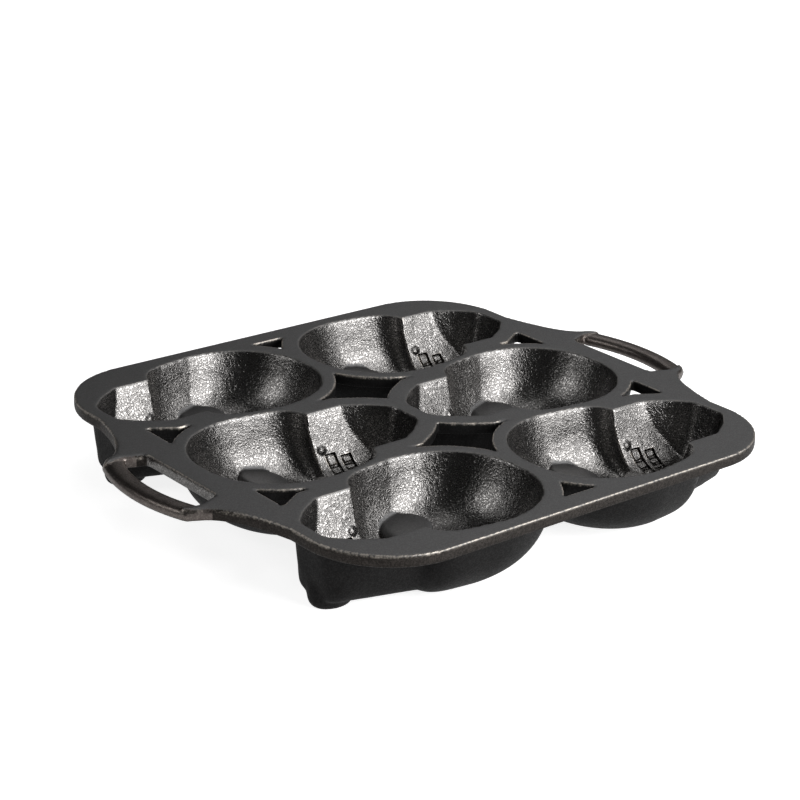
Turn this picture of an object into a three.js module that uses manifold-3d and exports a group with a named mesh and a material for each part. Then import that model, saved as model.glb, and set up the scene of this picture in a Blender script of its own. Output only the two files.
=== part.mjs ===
// Cast iron mini cake pan: a flat deck with six skull-shaped cups below it and a loop grip at each end.
// Sizes are millimetres, +Z is up and X runs from grip to grip. The origin lies on the surface that the
// pan stands on, below the middle of the deck.

import * as THREE from 'three';
import { mergeVertices } from 'three/addons/utils/BufferGeometryUtils.js';
import Module from 'manifold-3d';

const wasm = await Module();
wasm.setup();

// Outline of a skull cavity at the deck's top. Places along a skull are measured from the tip of its chin.
const skullLength = 120;
const crownHalfWidth = 41.3;
const crownMiddle = 76; // widest place of the cranium
const templeStart = 44.5; // where the cheeks step out from the jaw
const crownSquareness = 2.15; // 2 is an ellipse, more is squarer
const templeSquareness = 6.5;
const templeTaper = 0.11; // share of the width that the temples lose towards the cheeks
const jawHalfWidth = 25.6;
const jawCorner = 20.5; // where the straight side of the jaw turns in to the chin
const chinHalfWidth = 8.5;
const cornerRounding = 2.5; // length of the rounded stretch on each side of a jaw corner

// Depth of the cavity below the deck's top
const craniumDepth = 33.5;
const jawDepth = 28.5;
const bowlFullness = 2.6; // 2 is a round bowl, more is steeper at the wall and flatter at the floor
const bowlDraft = 0.06; // share of the width that the wall loses besides the bowl's curve
const floorCut = 0.98; // share of the bowl's curve that lies above its flat floor
const bowlMiddle = 58; // place that the cranium closes in on towards its floor
const chinSlope = 4; // how far the chin's end wall leans in over the depth of the jaw
const chinRun = 6; // how far the chin's end wall curves in towards the floor
const cornerSlope = 15; // how far the jaw corner runs towards the chin over that depth
const cornerNarrowing = 5.7; // how much narrower the jaw gets at that corner over that depth
const jawOverlap = 10; // length of the jaw that reaches into the cranium

// Features of the face: bosses for the eyes, nose and cheeks, and pits for the teeth
const eyePlace = 72;
const eyeSpread = 20; // middle of the face to the middle of an eye
const eyeHalfLength = 9.5;
const eyeHalfWidth = 13.5;
const eyeTopDepth = 26;
const eyeTilt = 8; // degrees that the top of an eye boss slopes down towards the chin
const nosePlace = 51;
const noseHalfLength = 6.5;
const noseHalfWidth = 5;
const nosePear = 0.4; // 0 is an oval nose, more is wider towards the chin
const noseTopDepth = 24;
const bossTaper = 1.45; // size of a boss at its foot against its top
const cheekPlace = 37;
const cheekSpread = 23.4;
const cheekDepth = 19;
const cheekRadius = 4.2;
const upperTeethPlace = 31.5;
const lowerTeethPlace = 22.5;
const teethPerSide = 4;
const toothPitch = 4.8;
const toothWidth = 3.8;
const toothLength = 5.6;
const toothSink = 1.6; // depth of a tooth pit below the jaw's floor

// Outsides of the cups. The middle row is slimmer, and the outer rows give way to it.
const endWall = 4.4; // wall of a cranium in the outer rows
const endTempleTaper = 0.09;
const middleWall = 3.4;
const middleTempleTaper = 0.16;
const cupGap = 0.4; // free space between two cups
const jawWall = 3.2;
const floorThickness = 4.5;
const jawFloorThickness = 6.7;
const outsideFullness = 2.9;
const outsideMiddle = 54; // place that the outside of a cranium closes in on
const outsideJawFullness = 5;
const outsideNarrowing = 12;
const chinBumpPlace = 10; // bump under the chin, as deep as the cranium's floor
const chinBumpRadius = 8;

// Deck
const deckThickness = 6;
const middleRib = 7.6; // iron between two cavities that meet on the pan's middle line
const rowNesting = 0.3; // how far the rows close up, because crowns lie beside jaws
const endRim = 7.2; // iron between a chin and the end of the deck
const sideRim = 7.9; // iron between a crown and the long edge of the deck
const deckCornerRadius = 44;
const crownRib = 7; // iron left round a crown beside a hole
const jawRib = 10; // iron left round a jaw beside a hole
const edgeHoleRib = 9; // iron left round a crown beside a hole at the long edge
const edgeRim = 11.5; // iron between a hole and the deck's edge
const starWidth = 58; // window for a star-shaped hole between four cups
const sideHoleLength = 44; // window for a three-cornered hole between two chins and a crown
const sideHoleWidth = 26;
const edgeHoleLength = 41; // window for a three-cornered hole at the long edge
const edgeHoleWidth = 20.5;

// Grips, with the ears and finger slots beside them
const slotWeb = 5; // how far the deck reaches past its corner lobes beside a slot
const slotWidth = 16.4;
const slotEndStep = 3; // how far a slot's corner lies inside the end of its grip
const slotRounding = 3;
const gripHalfSpan = 31;
const gripWidth = 10.5;
const gripThickness = 6.4;
const gripDrop = 0.7; // top of a grip below the top of the deck
const gripBendRadius = 90; // radius of a grip's middle line
const earShoulder = 6.2; // length of an ear past the end of its grip
const earCorner = 6.6; // width of the ear's rounded outer corner
const earFullness = 2.2; // how far that corner's control point lies from the grip's outer end
const sweepLength = 39; // length along Y of the sweep from the deck's end to an ear
const sweepLean = 7.2; // control point of the sweep, out from the deck's end
const sweepLift = 5.2; // control point of the sweep, past the ear

// Facets
const crownFacets = 36;
const outsideFacets = 28;
const roundingFacets = 2;
const eyeFacets = 16;
const noseFacets = 10;
const cheekFacets = 8;
const bumpFacets = 10;
const gripFacets = 16;
const gripTurnFacets = 90;
const deckCurveFacets = 8;
const bowlLevels = [0.32, 0.6, 0.81, 0.94, 1]; // places of the rings below the deck
const outsideLevels = [0.4, 0.72, 0.92, 1];

const skullTip = middleRib / 2 + skullLength;
const rowPitch = 2 * crownHalfWidth - rowNesting;
const deckHalfLength = skullTip + endRim;
const deckHalfWidth = rowPitch + crownHalfWidth + sideRim;
const panHeight = craniumDepth + floorThickness;
const slotSide = deckHalfLength + slotWeb;
const gripMiddle = slotSide + slotWidth + gripWidth / 2;
const bendCentre = gripMiddle - gripBendRadius;
const cutClearance = 2; // how far a cutting body stands out of what it cuts
const weldDistance = 1e-4; // points closer than this are one point

const castIron = { color: 0x3b3a39, roughness: 0.55, metalness: 0.6 };

// Closed solid through a stack of rings, from the top ring down. All rings have the same number of points
// and run counter-clockwise when seen from above.
function loft(rings) {
  const count = rings[0].length;
  const positions = rings.flat().flatMap((point) => [point.x, point.y, point.z]);
  const index = [];
  for (let ring = 0; ring < rings.length - 1; ring += 1) {
    for (let side = 0; side < count; side += 1) {
      const next = (side + 1) % count;
      const upper = ring * count;
      const lower = upper + count;
      index.push(upper + side, lower + side, lower + next);
      index.push(upper + side, lower + next, upper + next);
    }
  }
  const bottom = (rings.length - 1) * count;
  for (let side = 1; side < count - 1; side += 1) {
    index.push(0, side, side + 1);
    index.push(bottom, bottom + side + 1, bottom + side);
  }
  const geometry = new THREE.BufferGeometry();
  geometry.setAttribute('position', new THREE.Float32BufferAttribute(positions, 3));
  geometry.setIndex(index);
  return geometry;
}

function toSolid(geometry) {
  const bare = geometry.clone();
  bare.deleteAttribute('normal');
  bare.deleteAttribute('uv');
  const merged = mergeVertices(bare, weldDistance);
  return new wasm.Manifold(
    new wasm.Mesh({
      numProp: 3,
      vertProperties: new Float32Array(merged.attributes.position.array),
      triVerts: new Uint32Array(merged.index.array),
    }),
  );
}

function toGeometry(solid) {
  const mesh = solid.getMesh();
  const geometry = new THREE.BufferGeometry();
  geometry.setAttribute('position', new THREE.Float32BufferAttribute(mesh.vertProperties, 3));
  geometry.setIndex(new THREE.Uint32BufferAttribute(mesh.triVerts, 1));
  return geometry;
}

function joinAll(solids) {
  return solids.reduce((whole, solid) => whole.add(solid));
}

function part(name, geometry) {
  const mesh = new THREE.Mesh(geometry, new THREE.MeshStandardMaterial(castIron));
  mesh.name = name;
  return mesh;
}

// Share of its width that a bowl still has at a depth.
function bowlShare(depth, fullDepth, fullness) {
  const sunk = Math.max(depth / fullDepth, 0);
  const curve = (1 - (floorCut * sunk) ** fullness) ** (1 / fullness);
  return curve * (1 - bowlDraft * sunk);
}

function signedPower(value, power) {
  return Math.sign(value) * Math.abs(value) ** power;
}

const craniumShape = {
  grow: 0,
  taper: templeTaper,
  middle: bowlMiddle,
  facets: crownFacets,
  fullDepth: craniumDepth,
  fullness: bowlFullness,
};
const jawShape = { grow: 0, narrowing: cornerNarrowing, fullDepth: jawDepth, fullness: bowlFullness };

// Ring of the cranium: a squared ellipse on the crown's side and a squarer one towards the cheeks.
function craniumRing({ grow, taper, middle, share, depth, facets }) {
  const points = [];
  for (let step = 0; step < facets; step += 1) {
    const angle = (2 * Math.PI * step) / facets;
    const onCrown = Math.cos(angle) > 0;
    const power = 2 / (onCrown ? crownSquareness : templeSquareness);
    const reach = (onCrown ? skullLength - crownMiddle : crownMiddle - templeStart) + grow;
    const alongShare = signedPower(Math.cos(angle), power);
    const narrowing = 1 + taper * Math.min(alongShare, 0);
    const along = crownMiddle + reach * alongShare;
    const across = (crownHalfWidth + grow) * narrowing * signedPower(Math.sin(angle), power);
    points.push(new THREE.Vector3(middle + (along - middle) * share, across * share, -depth));
  }
  return points;
}

// Moves the corners of a closed outline outwards, so that every side moves by the same distance.
function growOutline(corners, grow) {
  return corners.map((corner, place) => {
    const before = corners.at(place - 1);
    const after = corners[(place + 1) % corners.length];
    const sideIn = corner.clone().sub(before).normalize();
    const sideOut = after.clone().sub(corner).normalize();
    const normalIn = new THREE.Vector2(sideIn.y, -sideIn.x);
    const normalOut = new THREE.Vector2(sideOut.y, -sideOut.x);
    const miter = normalIn.clone().add(normalOut).divideScalar(1 + normalIn.dot(normalOut));
    return corner.clone().addScaledVector(miter, grow);
  });
}

// One half of the jaw's outline: the chin, the slanted jaw corner and the straight side's far end.
function jawHalf({ narrowing, share, sunk }) {
  const run = chinRun * (1 - share);
  return [
    new THREE.Vector2(chinSlope * sunk + run, chinHalfWidth * share),
    new THREE.Vector2(jawCorner - cornerSlope * sunk + run, (jawHalfWidth - narrowing * sunk) * share),
    new THREE.Vector2(templeStart + jawOverlap, jawHalfWidth * share),
  ];
}

// Depth of the jaw's hollow below the deck's top, found by halving the range that it lies in.
function jawFloor(place, across) {
  let [above, below] = [0, jawDepth];
  while (below - above > weldDistance) {
    const depth = (above + below) / 2;
    const share = bowlShare(depth, jawDepth, bowlFullness);
    const [, corner, end] = jawHalf({ narrowing: cornerNarrowing, share, sunk: depth / jawDepth });
    const side = THREE.MathUtils.mapLinear(place, corner.x, end.x, corner.y, end.y);
    [above, below] = side > across ? [depth, below] : [above, depth];
  }
  return above;
}

// Ring of the jaw, with its corners rounded.
function jawRing({ grow, narrowing, share, sunk, depth }) {
  const half = jawHalf({ narrowing, share, sunk });
  const mirrored = half.map((point) => new THREE.Vector2(point.x, -point.y));
  const corners = growOutline([...mirrored, ...half.reverse()], grow);
  const outline = new THREE.Path();
  corners.forEach((corner, place) => {
    const before = corners.at(place - 1);
    const after = corners[(place + 1) % corners.length];
    const sideLimit = Math.min(corner.distanceTo(before), corner.distanceTo(after)) / 3;
    const cut = Math.min(cornerRounding * share, sideLimit);
    const start = corner.clone().add(before.clone().sub(corner).setLength(cut));
    const end = corner.clone().add(after.clone().sub(corner).setLength(cut));
    if (place === 0) {
      outline.moveTo(start.x, start.y);
    } else {
      outline.lineTo(start.x, start.y);
    }
    outline.quadraticCurveTo(corner.x, corner.y, end.x, end.y);
  });
  return outline.getPoints(roundingFacets).map((point) => new THREE.Vector3(point.x, point.y, -depth));
}

// Cranium and jaw together, as two bowls with rings at the given depths that end in flat floors.
function skullBody({ cranium, jaw, topDepths, levels }) {
  const bowl = (shape, ring) => {
    const top = topDepths.at(-1);
    const depths = [...topDepths, ...levels.map((level) => top + (shape.fullDepth - top) * level)];
    const rings = depths.map((depth) => {
      const share = bowlShare(depth, shape.fullDepth, shape.fullness);
      return ring({ ...shape, depth, share, sunk: Math.max(depth / shape.fullDepth, 0) });
    });
    return toSolid(loft(rings));
  };
  return bowl(cranium, craniumRing).add(bowl(jaw, jawRing));
}

// Straight-sided skull outline right through the deck, with a rib of iron added all round.
function skullPrism(craniumGrow, jawGrow) {
  const depths = [-cutClearance, deckThickness + cutClearance];
  const cranium = depths.map((depth) => craniumRing({ ...craniumShape, grow: craniumGrow, share: 1, depth }));
  const jaw = depths.map((depth) => jawRing({ ...jawShape, grow: jawGrow, share: 1, sunk: 0, depth }));
  return [loft(cranium), loft(jaw)];
}

// Boss that stands up from the cavity's floor: an oval or pear with a flat, sloping top and a wider foot.
function boss({ place, spread, halfLength, halfWidth, pear, topDepth, tilt, facets }) {
  const slope = Math.tan(THREE.MathUtils.degToRad(tilt));
  const ring = (size, depth, rise) => {
    const points = [];
    for (let step = 0; step < facets; step += 1) {
      const angle = (2 * Math.PI * step) / facets;
      const along = size * halfLength * Math.cos(angle);
      const across = size * halfWidth * Math.sin(angle) * (1 - pear * Math.cos(angle));
      points.push(new THREE.Vector3(place + along, spread + across, rise * along - depth));
    }
    return points;
  };
  return toSolid(loft([ring(1, topDepth, slope), ring(bossTaper, panHeight, 0)]));
}

function faceBosses() {
  const eye = {
    place: eyePlace,
    halfLength: eyeHalfLength,
    halfWidth: eyeHalfWidth,
    pear: 0,
    topDepth: eyeTopDepth,
    tilt: eyeTilt,
    facets: eyeFacets,
  };
  const nose = boss({
    place: nosePlace,
    spread: 0,
    halfLength: noseHalfLength,
    halfWidth: noseHalfWidth,
    pear: nosePear,
    topDepth: noseTopDepth,
    tilt: 0,
    facets: noseFacets,
  });
  const bosses = [nose];
  for (const side of [-1, 1]) {
    const cheek = new THREE.SphereGeometry(cheekRadius, cheekFacets, cheekFacets / 2);
    cheek.translate(cheekPlace, side * cheekSpread, -cheekDepth);
    bosses.push(boss({ ...eye, spread: side * eyeSpread }), toSolid(cheek));
  }
  return joinAll(bosses);
}

// Two rows of pits, each sunk square into the jaw's curved floor where it lies.
function toothPits() {
  const pits = [];
  for (const place of [lowerTeethPlace, upperTeethPlace]) {
    for (let tooth = 0; tooth < 2 * teethPerSide; tooth += 1) {
      const across = (tooth - teethPerSide + 0.5) * toothPitch;
      const floorAt = (shift) => jawFloor(place, Math.abs(across + shift));
      const rise = floorAt(-toothWidth / 2) - floorAt(toothWidth / 2);
      const pit = new THREE.BoxGeometry(toothLength, toothWidth, 2 * toothSink);
      pit.rotateX(Math.atan2(rise, toothWidth));
      pit.translate(place, across, -floorAt(0));
      pits.push(toSolid(pit));
    }
  }
  return joinAll(pits);
}

// Places of the six cups: chins at the ends in the outer rows, and at the middle in the middle row.
const cupPlaces = [];
for (const [rowName, row] of [['front', -1], ['middle', 0], ['back', 1]]) {
  for (const [sideName, side] of [['left', -1], ['right', 1]]) {
    const chinAtEnd = row !== 0;
    const group = new THREE.Object3D();
    group.position.set(side * (chinAtEnd ? skullTip : middleRib / 2), row * rowPitch, 0);
    group.rotation.z = (side > 0) === chinAtEnd ? Math.PI : 0;
    group.updateMatrix();
    cupPlaces.push({ name: `cup_${rowName}_${sideName}`, matrix: group.matrix, chinAtEnd });
  }
}

function placed(geometry, matrix) {
  return toSolid(geometry.clone().applyMatrix4(matrix));
}

function atCups(geometries) {
  return joinAll(cupPlaces.flatMap(({ matrix }) => geometries.map((geometry) => placed(geometry, matrix))));
}

function cavitySolid() {
  return skullBody({
    cranium: craniumShape,
    jaw: jawShape,
    topDepths: [-cutClearance, 0, deckThickness],
    levels: bowlLevels,
  });
}

function outsideSolid(wall, taper) {
  const body = skullBody({
    cranium: {
      grow: wall,
      taper,
      middle: outsideMiddle,
      facets: outsideFacets,
      fullDepth: panHeight,
      fullness: outsideFullness,
    },
    jaw: {
      grow: jawWall,
      narrowing: outsideNarrowing,
      fullDepth: jawDepth + jawFloorThickness,
      fullness: outsideJawFullness,
    },
    topDepths: [deckThickness],
    levels: outsideLevels,
  });
  const bump = new THREE.SphereGeometry(chinBumpRadius, bumpFacets, bumpFacets);
  bump.translate(chinBumpPlace, 0, chinBumpRadius - panHeight);
  return body.add(toSolid(bump));
}

// All six cups where they hang below the deck.
function cupMeshes() {
  const hollow = cavitySolid().subtract(faceBosses()).add(toothPits());
  const endCup = toGeometry(outsideSolid(endWall, endTempleTaper).subtract(hollow));
  const middleCup = toGeometry(outsideSolid(middleWall, middleTempleTaper).subtract(hollow));
  const guard = toGeometry(outsideSolid(middleWall + cupGap, middleTempleTaper));
  const middlePlaces = cupPlaces.filter(({ chinAtEnd }) => !chinAtEnd);
  const guards = joinAll(middlePlaces.map(({ matrix }) => placed(guard, matrix)));
  const middleGap = toSolid(new THREE.BoxGeometry(cupGap, 2 * deckHalfWidth, 2 * panHeight));
  return cupPlaces.map(({ name, matrix, chinAtEnd }) => {
    const cup = chinAtEnd ? placed(endCup, matrix).subtract(guards) : placed(middleCup, matrix);
    return part(name, toGeometry(cup.subtract(middleGap)));
  });
}

// One quarter of the deck's outline, from the end of the long edge round to the corner of the slot.
function deckQuarter() {
  const gripEnd = (radius) => bendCentre + Math.sqrt(radius ** 2 - gripHalfSpan ** 2);
  const outerEnd = gripEnd(gripBendRadius + gripWidth / 2);
  const innerEnd = gripEnd(gripBendRadius - gripWidth / 2);
  const earSide = gripHalfSpan + earShoulder;
  const slotEnd = gripHalfSpan - slotEndStep;
  const outline = new THREE.Path();
  outline.absarc(
    deckHalfLength - deckCornerRadius,
    deckHalfWidth - deckCornerRadius,
    deckCornerRadius,
    Math.PI / 2,
    0,
    true,
  );
  outline.lineTo(deckHalfLength, earSide + sweepLength);
  outline.quadraticCurveTo(deckHalfLength + sweepLean, earSide + sweepLift, outerEnd - earCorner, earSide);
  outline.quadraticCurveTo(outerEnd - earFullness, gripHalfSpan + 2 * earFullness, outerEnd, gripHalfSpan);
  outline.lineTo(innerEnd, gripHalfSpan);
  outline.lineTo(slotSide + slotRounding, slotEnd);
  outline.quadraticCurveTo(slotSide, slotEnd, slotSide, slotEnd - slotRounding);
  return outline.getPoints(deckCurveFacets);
}

function deckGeometry() {
  const quarter = deckQuarter();
  const right = [...quarter, ...quarter.map((point) => new THREE.Vector2(point.x, -point.y)).reverse()];
  const left = right.map((point) => new THREE.Vector2(-point.x, point.y)).reverse();
  const shape = new THREE.Shape([...right, ...left]);
  const plate = new THREE.ExtrudeGeometry(shape, { depth: deckThickness, bevelEnabled: false });
  plate.translate(0, 0, -deckThickness);
  const openings = atCups([toGeometry(cavitySolid())]);
  return toGeometry(toSolid(plate).subtract(openings).subtract(deckHoles()));
}

// Holes through the deck: what a window leaves free between the cavities and the ribs round them.
function deckHoles() {
  const depth = deckThickness + 2 * cutClearance;
  const windowAt = (x, y, length, width) => {
    const box = new THREE.BoxGeometry(length, width, depth);
    box.translate(x, y, -deckThickness / 2);
    return toSolid(box);
  };
  const endSide = deckHalfLength - edgeRim;
  const longSide = deckHalfWidth - edgeRim;
  const innerWindows = [];
  const edgeWindows = [];
  for (const back of [-1, 1]) {
    const between = (back * rowPitch) / 2;
    innerWindows.push(windowAt(0, between, 2 * crownHalfWidth, starWidth));
    edgeWindows.push(windowAt(0, back * (longSide - edgeHoleWidth / 2), edgeHoleLength, edgeHoleWidth));
    for (const side of [-1, 1]) {
      const middle = side * (endSide - sideHoleLength / 2);
      innerWindows.push(windowAt(middle, between, sideHoleLength, sideHoleWidth));
    }
  }
  const inner = joinAll(innerWindows).subtract(atCups(skullPrism(crownRib, jawRib)));
  const edge = joinAll(edgeWindows).subtract(atCups(skullPrism(edgeHoleRib, jawRib)));
  return inner.add(edge);
}

// Grip: a bent oval bar, cut flat where it meets the ears.
function gripGeometry() {
  const profile = [];
  for (let step = 0; step <= gripFacets; step += 1) {
    const angle = (2 * Math.PI * step) / gripFacets;
    profile.push(
      new THREE.Vector2(
        gripBendRadius + (gripWidth / 2) * Math.cos(angle),
        (gripThickness / 2) * Math.sin(angle),
      ),
    );
  }
  const ring = new THREE.LatheGeometry(profile, gripTurnFacets);
  ring.rotateX(Math.PI / 2);
  ring.translate(bendCentre, 0, -gripDrop - gripThickness / 2);
  const span = new THREE.BoxGeometry(gripBendRadius, 2 * gripHalfSpan, panHeight);
  span.translate(gripMiddle, 0, 0);
  return toGeometry(toSolid(ring).intersect(toSolid(span)));
}

const pan = new THREE.Group();
pan.position.z = panHeight;
pan.add(part('top_deck', deckGeometry()), ...cupMeshes());
const grip = gripGeometry();
for (const [sideName, turn] of [['left', Math.PI], ['right', 0]]) {
  const mesh = part(`grip_${sideName}`, grip.clone());
  mesh.rotation.z = turn;
  pan.add(mesh);
}

export default pan;
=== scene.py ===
import math

import bmesh
import bpy
import numpy as np
from mathutils import Matrix, Vector
from mathutils.bvhtree import BVHTree


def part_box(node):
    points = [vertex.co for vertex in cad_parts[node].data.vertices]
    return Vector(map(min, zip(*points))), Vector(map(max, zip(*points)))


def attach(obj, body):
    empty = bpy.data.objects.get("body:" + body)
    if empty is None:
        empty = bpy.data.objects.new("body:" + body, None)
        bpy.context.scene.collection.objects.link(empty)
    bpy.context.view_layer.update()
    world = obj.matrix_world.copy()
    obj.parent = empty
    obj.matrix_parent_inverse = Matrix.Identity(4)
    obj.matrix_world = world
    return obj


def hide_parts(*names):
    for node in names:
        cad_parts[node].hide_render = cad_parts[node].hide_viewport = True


# Cast iron mini cake pan: six skull-shaped cups under one flat deck, with a loop grip at each end.
# Shapes are drawn in millimetres with the deck's top at height 0, and set into the frame in metres.

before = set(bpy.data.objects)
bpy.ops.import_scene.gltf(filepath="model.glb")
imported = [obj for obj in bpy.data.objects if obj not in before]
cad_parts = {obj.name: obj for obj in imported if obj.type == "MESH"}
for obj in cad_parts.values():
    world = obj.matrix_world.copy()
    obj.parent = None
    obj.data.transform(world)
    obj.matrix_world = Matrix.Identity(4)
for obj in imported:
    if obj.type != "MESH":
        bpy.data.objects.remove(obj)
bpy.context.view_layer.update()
mm = 0.001
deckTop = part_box("top_deck")[1].z
print("frame loaded, deck top at", round(deckTop / mm, 2), "mm")


def clearSelection():
    if bpy.context.mode != "OBJECT":
        bpy.ops.object.mode_set(mode="OBJECT")
    bpy.ops.object.select_all(action="DESELECT")


def pick(piece):
    clearSelection()
    piece.select_set(True)
    bpy.context.view_layer.objects.active = piece


def finishWith(piece, kind, **settings):
    pick(piece)
    modifier = piece.modifiers.new(kind.lower(), kind)
    for key, value in settings.items():
        setattr(modifier, key, value)
    bpy.ops.object.modifier_apply(modifier=modifier.name)


def combine(piece, tool, operation, keepTool=False):
    finishWith(piece, "BOOLEAN", operation=operation, object=tool, solver="MANIFOLD")
    if not keepTool:
        bpy.data.objects.remove(tool, do_unlink=True)


def copied(piece, name, matrix=Matrix.Identity(4)):
    pick(piece)
    bpy.ops.object.duplicate(linked=False)
    copy = bpy.context.object
    copy.name = name
    copy.data.name = name
    copy.data.transform(matrix)
    return copy


def joined(pieces, name):
    clearSelection()
    for piece in pieces:
        piece.select_set(True)
    bpy.context.view_layer.objects.active = pieces[0]
    bpy.ops.object.join()
    bpy.context.object.name = name
    return bpy.context.object


# A filled circle is laid on the first outline and extruded to each of the next ones.
def stackOutlines(name, outlines):
    clearSelection()
    bpy.ops.mesh.primitive_circle_add(vertices=len(outlines[0]), radius=1, fill_type="NGON")
    body = bpy.context.object
    body.name = name
    bpy.ops.object.mode_set(mode="EDIT")
    bpy.ops.mesh.select_mode(type="FACE")
    bpy.ops.mesh.select_all(action="SELECT")
    before = None
    for outline in outlines:
        places = np.asarray(outline) * mm + (0, 0, deckTop)
        if before is not None:
            bpy.ops.mesh.extrude_region_move()
        edit = bmesh.from_edit_mesh(body.data)
        corners = next(polygon for polygon in edit.faces if polygon.select).verts
        for number, corner in enumerate(corners):
            if before is not None:
                number = int(np.argmin(((before - np.array(corner.co)) ** 2).sum(1)))
            corner.co = places[number]
        bmesh.update_edit_mesh(body.data)
        before = places
    bpy.ops.mesh.select_all(action="SELECT")
    bpy.ops.mesh.normals_make_consistent(inside=False)
    bpy.ops.object.mode_set(mode="OBJECT")
    return body


def block(name, low, high, cuts=0):
    clearSelection()
    low, high = Vector(low) * mm, Vector(high) * mm
    middle = (low + high) / 2 + Vector((0, 0, deckTop))
    bpy.ops.mesh.primitive_cube_add(size=1, location=middle, scale=high - low)
    bpy.ops.object.transform_apply(location=True, rotation=True, scale=True)
    bpy.context.object.name = name
    if cuts:  # small faces, so that what is cut along them closes cleanly
        bpy.ops.object.mode_set(mode="EDIT")
        bpy.ops.mesh.select_all(action="SELECT")
        bpy.ops.mesh.subdivide(number_cuts=cuts)
        bpy.ops.object.mode_set(mode="OBJECT")
    return bpy.context.object


# Voxel skin over a joined body, then smoothing: together they give the round edges of sand-cast iron.
def castSkin(piece, voxel, rounds):
    finishWith(piece, "REMESH", mode="VOXEL", voxel_size=voxel * mm, adaptivity=0)
    finishWith(piece, "SMOOTH", factor=0.5, iterations=rounds)


def fullTurn(points):
    return np.linspace(0, 2 * math.pi, points, endpoint=False)


def quarterTurn(points):
    return np.linspace(0, math.pi / 2, points)


def signedPower(value, power):
    return np.sign(value) * np.abs(value) ** power


def quadCurve(start, control, end, steps):
    t = np.linspace(0, 1, steps + 1)[:, None]
    return (1 - t) ** 2 * start + 2 * t * (1 - t) * control + t**2 * end


# Skull hollow
skull = {
    "length": 120,
    "crownHalfWidth": 41.3,
    "crownMiddle": 76,
    "crownSquareness": 2.15,
    "templeStart": 40.5,
    "templeSquareness": 5,
    "templeTaper": 0.11,
    "templeDraft": 0.15,
    "middle": 58,
    "jawHalfWidth": 25.6,
    "jawEnd": 54.5,
    "jawCorner": 21.3,
    "jawBulge": 1.6,
    "chinHalfWidth": 9.3,
    "roundings": (4.5, 6, 1.5, 1.5),
    "craniumDepth": 33.5,
    "craniumFullness": 3.8,
    "craniumDraft": 0.2,
    "jawDepth": 28.5,
    "jawFullness": 2.8,
    "jawDraft": 0.2,
    "floorCut": 0.98,
    "chinSlope": 4,
    "chinRun": 6,
    "cornerSlope": 18,
    "cornerCurve": 1.7,
    "cornerNarrowing": 5.7,
    "rimDepths": (-3, 0, 3, 6),
    "points": 180,
    "sideSteps": 8,
    "levels": 26,
}


# What is left of a bowl's outline at a depth, as a share of that at its rim
def bowlShare(depth, fullDepth, fullness, draft):
    sunk = max(depth / fullDepth, 0)
    curve = (1 - (skull["floorCut"] * sunk) ** fullness) ** (1 / fullness)
    return curve * (1 - draft * sunk)


# Squared ellipse on the crown's side and a squarer one towards the cheeks
def craniumOutline(depth, share, form=skull, grow=0):
    angle = fullTurn(skull["points"])
    onCrown = np.cos(angle) > 0
    power = np.where(onCrown, 2 / skull["crownSquareness"], 2 / form["templeSquareness"])
    crownReach = skull["length"] - skull["crownMiddle"]
    templeReach = skull["crownMiddle"] - form["templeStart"]
    reach = np.where(onCrown, crownReach, templeReach) + grow
    alongShare = signedPower(np.cos(angle), power)
    along = skull["crownMiddle"] + reach * alongShare
    narrowing = 1 + form["templeTaper"] * np.minimum(alongShare, 0)
    across = (skull["crownHalfWidth"] + grow) * narrowing * signedPower(np.sin(angle), power)
    alongShrink = np.where(along > form["middle"], share, 1 - form["templeDraft"] * (1 - share))
    along = form["middle"] + (along - form["middle"]) * alongShrink
    return np.column_stack((along, across * share, np.full(len(angle), -depth)))


def sideNormals(corners):
    sideIn = corners - np.roll(corners, 1, axis=0)
    sideIn /= np.linalg.norm(sideIn, axis=1)[:, None]
    normalIn = np.column_stack((sideIn[:, 1], -sideIn[:, 0]))
    return normalIn, np.roll(normalIn, -1, axis=0)


# Moves each side of a closed outline outwards by the same distance
def grown(corners, grow):
    normalIn, normalOut = sideNormals(corners)
    miter = (normalIn + normalOut) / (1 + (normalIn * normalOut).sum(1))[:, None]
    return corners + miter * np.reshape(grow, (-1, 1))


# One half of the jaw's outline: the chin, its bulged side, the jaw corner and the far end of the straight side
def jawHalf(share, sunk, form=skull):
    run = skull["chinRun"] * (1 - share)
    chin = np.array((skull["chinSlope"] * sunk + run, skull["chinHalfWidth"] * share))
    cornerAlong = skull["jawCorner"] - skull["cornerSlope"] * sunk ** skull["cornerCurve"] + run
    cornerAcross = (skull["jawHalfWidth"] - form["cornerNarrowing"] * sunk) * share
    corner = np.array((cornerAlong, cornerAcross))
    side = (corner - chin) / np.linalg.norm(corner - chin)
    bulge = (chin + corner) / 2 + skull["jawBulge"] * share * np.array((-side[1], side[0]))
    return [chin, bulge, corner, np.array((skull["jawEnd"], skull["jawHalfWidth"] * share))]


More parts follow.
